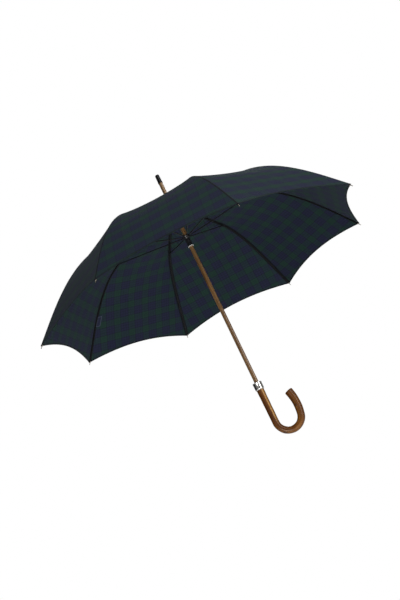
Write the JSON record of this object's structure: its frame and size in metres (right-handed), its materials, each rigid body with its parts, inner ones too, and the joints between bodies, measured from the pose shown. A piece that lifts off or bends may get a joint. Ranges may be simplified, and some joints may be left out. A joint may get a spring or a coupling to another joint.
{
  "type": "stick umbrella",
  "caption": "Open stick umbrella with a wooden shaft and crook handle, folding ribs and stretchers, sliding runner with spring catches, and a tartan canopy.",
  "frame": {"origin": "on the shaft's axis at the middle of the handle's straight grip", "axes": "+Z along the shaft towards the ferrule, +X from the shaft towards the crook's return leg, +Y away from the viewer of the picture"},
  "size_m": [1.033, 1.033, 0.9051],
  "materials": {
    "shaft_wood": "brown stained and varnished straight-grained wood",
    "handle_wood": "glossy scorched chestnut with long grain and small knots",
    "nickel": "bright nickel plate",
    "steel_wire": "plain drawn steel",
    "ferrule_black": "black lacquered steel",
    "black_plastic": "black moulded plastic",
    "black_steel": "black enamelled steel channel",
    "tartan_cloth": "woven navy, green and black tartan cloth",
    "stud_metal": "nickel press stud",
    "label_cloth": "small plain navy woven tab"
  },
  "bodies": {
    "stick": {"shaft": "shaft_wood", "stop_pin": "steel_wire", "ferrule": "ferrule_black", "tip_cup": "nickel", "crook_handle": "handle_wood", "crown_notch": "black_plastic", "crown_wire": "steel_wire", "crown_cap": "black_plastic"},
    "rib_1_arm": {"rib_inner_1": "black_steel"},
    "rib_1_bend": {"rib_middle_1": "black_steel", "canopy_1": "tartan_cloth"},
    "rib_1_end": {"rib_outer_1": "black_steel"},
    "stretcher_1_arm": {"stretcher_1": "black_steel"},
    "rib_2_arm": {"rib_inner_2": "black_steel"},
    "rib_2_bend": {"rib_middle_2": "black_steel", "canopy_2": "tartan_cloth", "label": "label_cloth"},
    "rib_2_end": {"rib_outer_2": "black_steel"},
    "stretcher_2_arm": {"stretcher_2": "black_steel"},
    "rib_3_arm": {"rib_inner_3": "black_steel"},
    "rib_3_bend": {"rib_middle_3": "black_steel", "canopy_3": "tartan_cloth"},
    "rib_3_end": {"rib_outer_3": "black_steel"},
    "stretcher_3_arm": {"stretcher_3": "black_steel"},
    "rib_4_arm": {"rib_inner_4": "black_steel"},
    "rib_4_bend": {"rib_middle_4": "black_steel", "canopy_4": "tartan_cloth", "strap": "tartan_cloth", "strap_stud": "stud_metal"},
    "rib_4_end": {"rib_outer_4": "black_steel"},
    "stretcher_4_arm": {"stretcher_4": "black_steel"},
    "rib_5_arm": {"rib_inner_5": "black_steel"},
    "rib_5_bend": {"rib_middle_5": "black_steel", "canopy_5": "tartan_cloth"},
    "rib_5_end": {"rib_outer_5": "black_steel"},
    "stretcher_5_arm": {"stretcher_5": "black_steel"},
    "rib_6_arm": {"rib_inner_6": "black_steel"},
    "rib_6_bend": {"rib_middle_6": "black_steel", "canopy_6": "tartan_cloth"},
    "rib_6_end": {"rib_outer_6": "black_steel"},
    "stretcher_6_arm": {"stretcher_6": "black_steel"},
    "rib_7_arm": {"rib_inner_7": "black_steel"},
    "rib_7_bend": {"rib_middle_7": "black_steel", "canopy_7": "tartan_cloth"},
    "rib_7_end": {"rib_outer_7": "black_steel"},
    "stretcher_7_arm": {"stretcher_7": "black_steel"},
    "rib_8_arm": {"rib_inner_8": "black_steel"},
    "rib_8_bend": {"rib_middle_8": "black_steel", "canopy_8": "tartan_cloth"},
    "rib_8_end": {"rib_outer_8": "black_steel"},
    "stretcher_8_arm": {"stretcher_8": "black_steel"},
    "slider": {"runner": "black_plastic", "runner_ring": "nickel", "runner_wire": "steel_wire"},
    "upper_catch": {"top_spring": "steel_wire"},
    "lower_catch": {"bottom_spring": "steel_wire"}
  },
  "joints": [
    {"name": "canopy_fold", "type": "hinge", "parent": "stick", "child": "rib_1_arm", "pos_m": [-0.00959, -0.00282, 0.693], "axis": [0.2823, -0.9593, 0], "range_deg": [0, 75.5], "deforming": ["canopy_1", "canopy_2", "canopy_3", "canopy_4", "canopy_5", "canopy_6", "canopy_7", "canopy_8", "strap", "strap_stud", "label", "top_spring", "bottom_spring"]},
    {"name": "rib_1_first_flex", "type": "hinge", "parent": "rib_1_arm", "child": "rib_1_bend", "pos_m": [-0.24966, -0.07348, 0.63887], "axis": [0.2823, -0.9593, 0], "range_deg": [-15.42, 0]},
    {"name": "rib_1_second_flex", "type": "hinge", "parent": "rib_1_bend", "child": "rib_1_end", "pos_m": [-0.39863, -0.11732, 0.54607], "axis": [0.2823, -0.9593, 0], "range_deg": [-16.58, 0]},
    {"name": "stretcher_1_joiner", "type": "hinge", "parent": "rib_1_arm", "child": "stretcher_1_arm", "pos_m": [-0.24879, -0.07322, 0.63498], "axis": [0.2823, -0.9593, 0], "range_deg": [-151, 0]},
    {"name": "rib_2_crown_hinge", "type": "hinge", "parent": "stick", "child": "rib_2_arm", "pos_m": [-0.00878, 0.00479, 0.693], "axis": [-0.4787, -0.878, 0], "range_deg": [0, 75.5]},
    {"name": "rib_2_first_flex", "type": "hinge", "parent": "rib_2_arm", "child": "rib_2_bend", "pos_m": [-0.22849, 0.12458, 0.63887], "axis": [-0.4787, -0.878, 0], "range_deg": [-15.42, 0]},
    {"name": "rib_2_second_flex", "type": "hinge", "parent": "rib_2_bend", "child": "rib_2_end", "pos_m": [-0.36484, 0.19892, 0.54607], "axis": [-0.4787, -0.878, 0], "range_deg": [-16.58, 0]},
    {"name": "stretcher_2_joiner", "type": "hinge", "parent": "rib_2_arm", "child": "stretcher_2_arm", "pos_m": [-0.22769, 0.12414, 0.63498], "axis": [-0.4787, -0.878, 0], "range_deg": [-151, 0]},
    {"name": "rib_3_crown_hinge", "type": "hinge", "parent": "stick", "child": "rib_3_arm", "pos_m": [-0.00282, 0.00959, 0.693], "axis": [-0.9593, -0.2823, 0], "range_deg": [0, 75.5]},
    {"name": "rib_3_first_flex", "type": "hinge", "parent": "rib_3_arm", "child": "rib_3_bend", "pos_m": [-0.07348, 0.24966, 0.63887], "axis": [-0.9593, -0.2823, 0], "range_deg": [-15.42, 0]},
    {"name": "rib_3_second_flex", "type": "hinge", "parent": "rib_3_bend", "child": "rib_3_end", "pos_m": [-0.11732, 0.39863, 0.54607], "axis": [-0.9593, -0.2823, 0], "range_deg": [-16.58, 0]},
    {"name": "stretcher_3_joiner", "type": "hinge", "parent": "rib_3_arm", "child": "stretcher_3_arm", "pos_m": [-0.07322, 0.24879, 0.63498], "axis": [-0.9593, -0.2823, 0], "range_deg": [-151, 0]},
    {"name": "rib_4_crown_hinge", "type": "hinge", "parent": "stick", "child": "rib_4_arm", "pos_m": [0.00479, 0.00878, 0.693], "axis": [-0.878, 0.4787, 0], "range_deg": [0, 75.5]},
    {"name": "rib_4_first_flex", "type": "hinge", "parent": "rib_4_arm", "child": "rib_4_bend", "pos_m": [0.12458, 0.22849, 0.63887], "axis": [-0.878, 0.4787, 0], "range_deg": [-15.42, 0]},
    {"name": "rib_4_second_flex", "type": "hinge", "parent": "rib_4_bend", "child": "rib_4_end", "pos_m": [0.19892, 0.36484, 0.54607], "axis": [-0.878, 0.4787, 0], "range_deg": [-16.58, 0]},
    {"name": "stretcher_4_joiner", "type": "hinge", "parent": "rib_4_arm", "child": "stretcher_4_arm", "pos_m": [0.12414, 0.22769, 0.63498], "axis": [-0.878, 0.4787, 0], "range_deg": [-151, 0]},
    {"name": "rib_5_crown_hinge", "type": "hinge", "parent": "stick", "child": "rib_5_arm", "pos_m": [0.00959, 0.00282, 0.693], "axis": [-0.2823, 0.9593, 0], "range_deg": [0, 75.5]},
    {"name": "rib_5_first_flex", "type": "hinge", "parent": "rib_5_arm", "child": "rib_5_bend", "pos_m": [0.24966, 0.07348, 0.63887], "axis": [-0.2823, 0.9593, 0], "range_deg": [-15.42, 0]},
    {"name": "rib_5_second_flex", "type": "hinge", "parent": "rib_5_bend", "child": "rib_5_end", "pos_m": [0.39863, 0.11732, 0.54607], "axis": [-0.2823, 0.9593, 0], "range_deg": [-16.58, 0]},
    {"name": "stretcher_5_joiner", "type": "hinge", "parent": "rib_5_arm", "child": "stretcher_5_arm", "pos_m": [0.24879, 0.07322, 0.63498], "axis": [-0.2823, 0.9593, 0], "range_deg": [-151, 0]},
    {"name": "rib_6_crown_hinge", "type": "hinge", "parent": "stick", "child": "rib_6_arm", "pos_m": [0.00878, -0.00479, 0.693], "axis": [0.4787, 0.878, 0], "range_deg": [0, 75.5]},
    {"name": "rib_6_first_flex", "type": "hinge", "parent": "rib_6_arm", "child": "rib_6_bend", "pos_m": [0.22849, -0.12458, 0.63887], "axis": [0.4787, 0.878, 0], "range_deg": [-15.42, 0]},
    {"name": "rib_6_second_flex", "type": "hinge", "parent": "rib_6_bend", "child": "rib_6_end", "pos_m": [0.36484, -0.19892, 0.54607], "axis": [0.4787, 0.878, 0], "range_deg": [-16.58, 0]},
    {"name": "stretcher_6_joiner", "type": "hinge", "parent": "rib_6_arm", "child": "stretcher_6_arm", "pos_m": [0.22769, -0.12414, 0.63498], "axis": [0.4787, 0.878, 0], "range_deg": [-151, 0]},
    {"name": "rib_7_crown_hinge", "type": "hinge", "parent": "stick", "child": "rib_7_arm", "pos_m": [0.00282, -0.00959, 0.693], "axis": [0.9593, 0.2823, 0], "range_deg": [0, 75.5]},
    {"name": "rib_7_first_flex", "type": "hinge", "parent": "rib_7_arm", "child": "rib_7_bend", "pos_m": [0.07348, -0.24966, 0.63887], "axis": [0.9593, 0.2823, 0], "range_deg": [-15.42, 0]},
    {"name": "rib_7_second_flex", "type": "hinge", "parent": "rib_7_bend", "child": "rib_7_end", "pos_m": [0.11732, -0.39863, 0.54607], "axis": [0.9593, 0.2823, 0], "range_deg": [-16.58, 0]},
    {"name": "stretcher_7_joiner", "type": "hinge", "parent": "rib_7_arm", "child": "stretcher_7_arm", "pos_m": [0.07322, -0.24879, 0.63498], "axis": [0.9593, 0.2823, 0], "range_deg": [-151, 0]},
    {"name": "rib_8_crown_hinge", "type": "hinge", "parent": "stick", "child": "rib_8_arm", "pos_m": [-0.00479, -0.00878, 0.693], "axis": [0.878, -0.4787, 0], "range_deg": [0, 75.5]},
    {"name": "rib_8_first_flex", "type": "hinge", "parent": "rib_8_arm", "child": "rib_8_bend", "pos_m": [-0.12458, -0.22849, 0.63887], "axis": [0.878, -0.4787, 0], "range_deg": [-15.42, 0]},
    {"name": "rib_8_second_flex", "type": "hinge", "parent": "rib_8_bend", "child": "rib_8_end", "pos_m": [-0.19892, -0.36484, 0.54607], "axis": [0.878, -0.4787, 0], "range_deg": [-16.58, 0]},
    {"name": "stretcher_8_joiner", "type": "hinge", "parent": "rib_8_arm", "child": "stretcher_8_arm", "pos_m": [-0.12414, -0.22769, 0.63498], "axis": [0.878, -0.4787, 0], "range_deg": [-151, 0]},
    {"name": "runner_hinge", "type": "hinge", "parent": "stretcher_1_arm", "child": "slider", "pos_m": [-0.00959, -0.00282, 0.57695], "axis": [0.2823, -0.9593, 0], "range_deg": [0, 75.5]},
    {"name": "top_spring_press", "type": "hinge", "parent": "stick", "child": "upper_catch", "pos_m": [0, 0.0022, 0.48706], "axis": [1, 0, 0], "range_deg": [0, 5], "stiffness_Nm_per_rad": 3},
    {"name": "bottom_spring_press", "type": "hinge", "parent": "stick", "child": "lower_catch", "pos_m": [0, 0.0022, 0.20955], "axis": [-1, 0, 0], "range_deg": [0, 5], "stiffness_Nm_per_rad": 3}
  ],
  "couplings": [
    {"joint": "rib_1_first_flex", "follows": "canopy_fold", "ratio": -0.20225},
    {"joint": "rib_1_second_flex", "follows": "canopy_fold", "ratio": -0.21748},
    {"joint": "stretcher_1_joiner", "follows": "canopy_fold", "ratio": -2},
    {"joint": "rib_2_crown_hinge", "follows": "canopy_fold", "ratio": 1},
    {"joint": "rib_2_first_flex", "follows": "canopy_fold", "ratio": -0.20225},
    {"joint": "rib_2_second_flex", "follows": "canopy_fold", "ratio": -0.21748},
    {"joint": "stretcher_2_joiner", "follows": "canopy_fold", "ratio": -2},
    {"joint": "rib_3_crown_hinge", "follows": "canopy_fold", "ratio": 1},
    {"joint": "rib_3_first_flex", "follows": "canopy_fold", "ratio": -0.20225},
    {"joint": "rib_3_second_flex", "follows": "canopy_fold", "ratio": -0.21748},
    {"joint": "stretcher_3_joiner", "follows": "canopy_fold", "ratio": -2},
    {"joint": "rib_4_crown_hinge", "follows": "canopy_fold", "ratio": 1},
    {"joint": "rib_4_first_flex", "follows": "canopy_fold", "ratio": -0.20225},
    {"joint": "rib_4_second_flex", "follows": "canopy_fold", "ratio": -0.21748},
    {"joint": "stretcher_4_joiner", "follows": "canopy_fold", "ratio": -2},
    {"joint": "rib_5_crown_hinge", "follows": "canopy_fold", "ratio": 1},
    {"joint": "rib_5_first_flex", "follows": "canopy_fold", "ratio": -0.20225},
    {"joint": "rib_5_second_flex", "follows": "canopy_fold", "ratio": -0.21748},
    {"joint": "stretcher_5_joiner", "follows": "canopy_fold", "ratio": -2},
    {"joint": "rib_6_crown_hinge", "follows": "canopy_fold", "ratio": 1},
    {"joint": "rib_6_first_flex", "follows": "canopy_fold", "ratio": -0.20225},
    {"joint": "rib_6_second_flex", "follows": "canopy_fold", "ratio": -0.21748},
    {"joint": "stretcher_6_joiner", "follows": "canopy_fold", "ratio": -2},
    {"joint": "rib_7_crown_hinge", "follows": "canopy_fold", "ratio": 1},
    {"joint": "rib_7_first_flex", "follows": "canopy_fold", "ratio": -0.20225},
    {"joint": "rib_7_second_flex", "follows": "canopy_fold", "ratio": -0.21748},
    {"joint": "stretcher_7_joiner", "follows": "canopy_fold", "ratio": -2},
    {"joint": "rib_8_crown_hinge", "follows": "canopy_fold", "ratio": 1},
    {"joint": "rib_8_first_flex", "follows": "canopy_fold", "ratio": -0.20225},
    {"joint": "rib_8_second_flex", "follows": "canopy_fold", "ratio": -0.21748},
    {"joint": "stretcher_8_joiner", "follows": "canopy_fold", "ratio": -2},
    {"joint": "runner_hinge", "follows": "canopy_fold", "ratio": 1}
  ]
}
